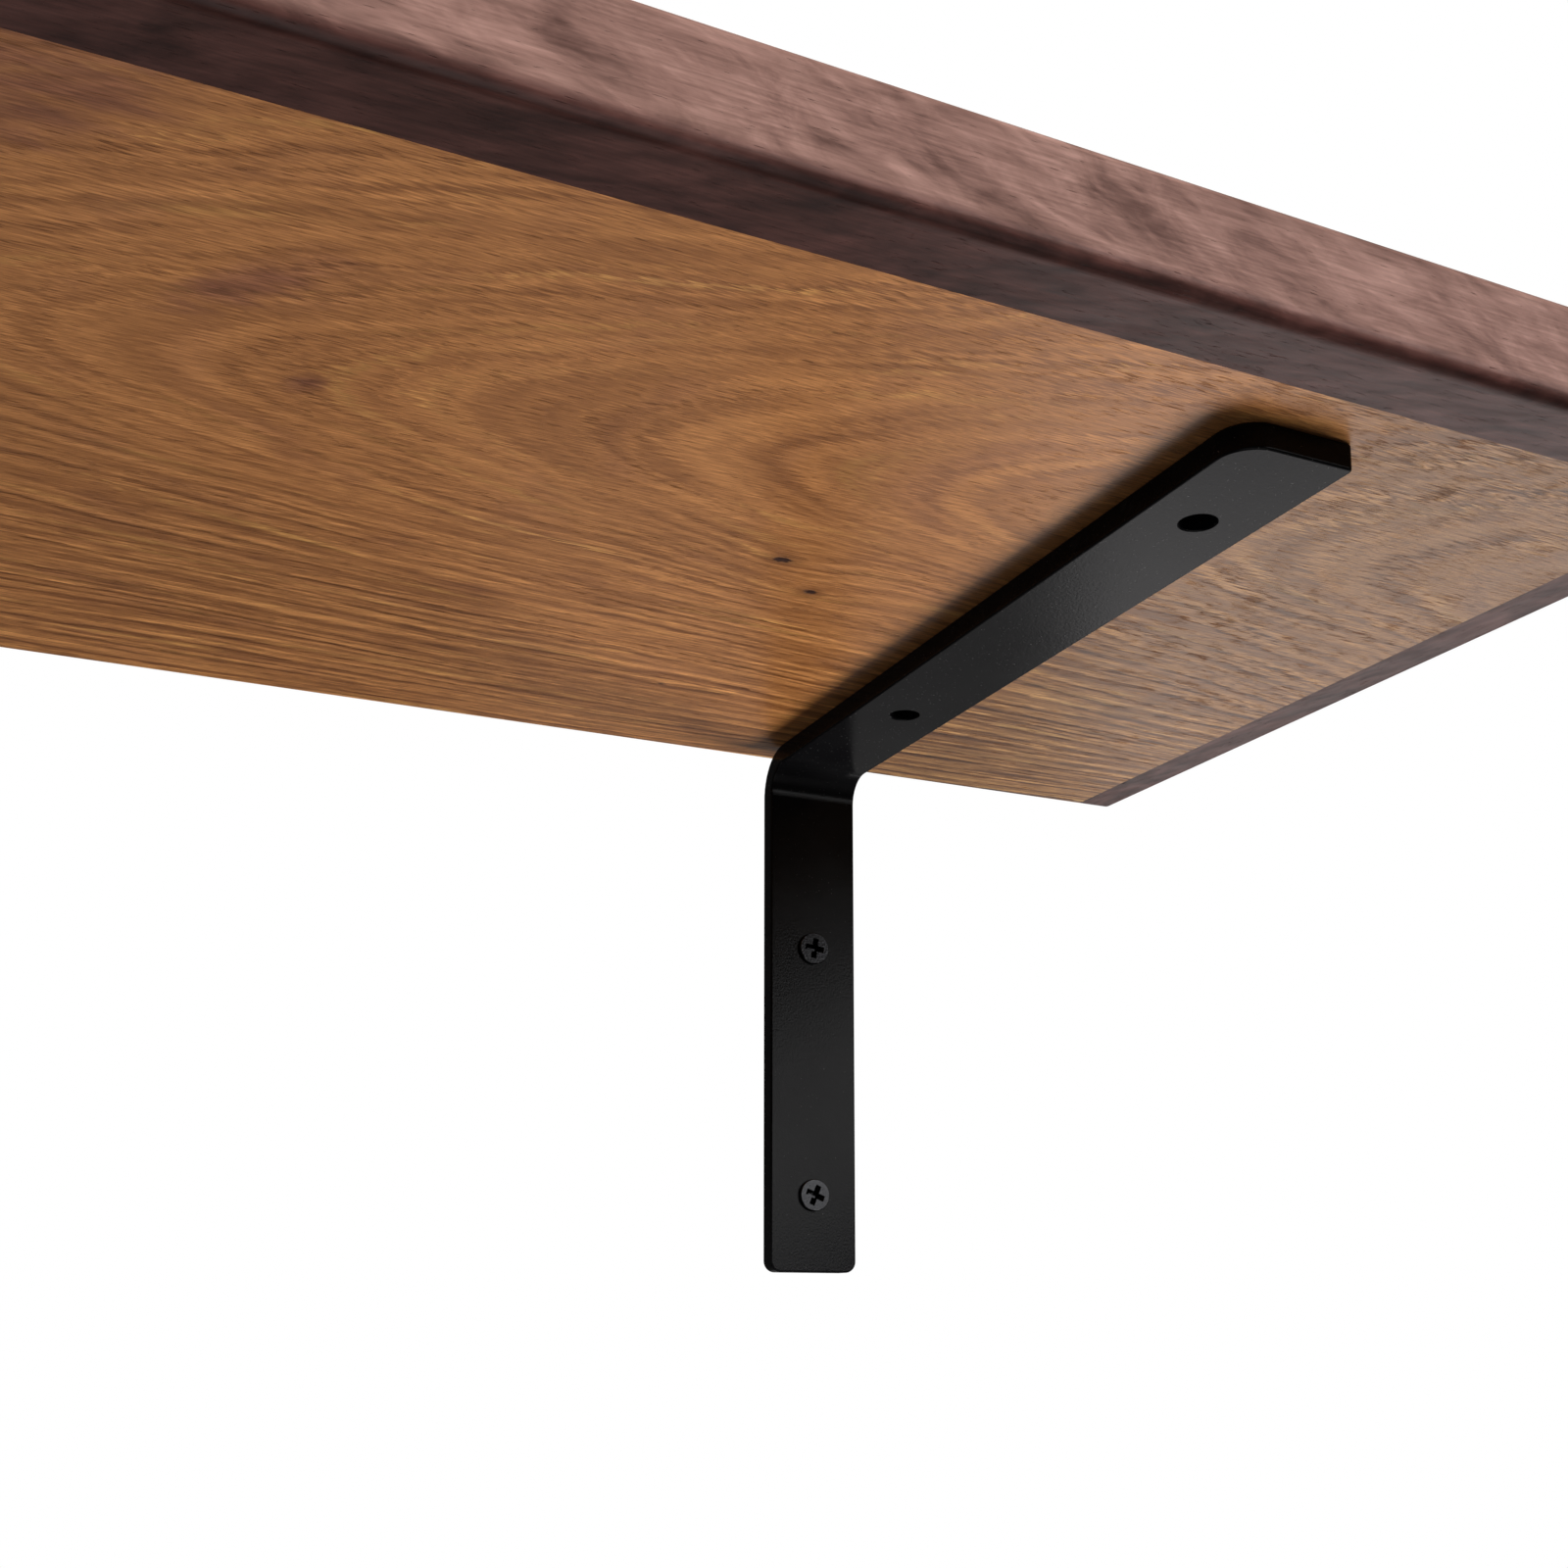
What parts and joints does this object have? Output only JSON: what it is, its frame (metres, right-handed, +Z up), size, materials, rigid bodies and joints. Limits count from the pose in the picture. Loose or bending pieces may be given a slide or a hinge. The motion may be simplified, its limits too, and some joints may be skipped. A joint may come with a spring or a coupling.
{
  "type": "wall shelf",
  "caption": "Wall shelf: a veneered board with solid wood lippings on L-shaped flat-bar brackets, held by countersunk screws in wall plugs.",
  "frame": {"origin": "on the wall plane, at mid length and mid thickness of the board's back edge", "axes": "+X right along the wall and the board's length, +Y into the wall, +Z up; the open front faces -Y"},
  "size_m": [0.6, 0.253, 0.16],
  "materials": {
    "core_board": "raw fibreboard, fine and even",
    "oak_veneer": "oiled oak veneer, grain along the length",
    "walnut": "oiled walnut, satin",
    "bracket_steel": "black powder coat, fine texture, satin",
    "screw_steel": "black phosphate, semi-matt, worn at the recess",
    "plug_nylon": "grey moulded nylon"
  },
  "bodies": {
    "root": {"board_core": "core_board", "top_veneer": "oak_veneer", "underside_veneer": "oak_veneer", "front_lipping": "walnut", "left_end_lipping": "walnut", "right_end_lipping": "walnut", "left_bracket": "bracket_steel", "right_bracket": "bracket_steel", "wall_screw_left_upper": "screw_steel", "wall_screw_left_lower": "screw_steel", "wall_screw_right_upper": "screw_steel", "wall_screw_right_lower": "screw_steel", "wall_plug_left_upper": "plug_nylon", "wall_plug_left_lower": "plug_nylon", "wall_plug_right_upper": "plug_nylon", "wall_plug_right_lower": "plug_nylon"}
  },
  "joints": []
}
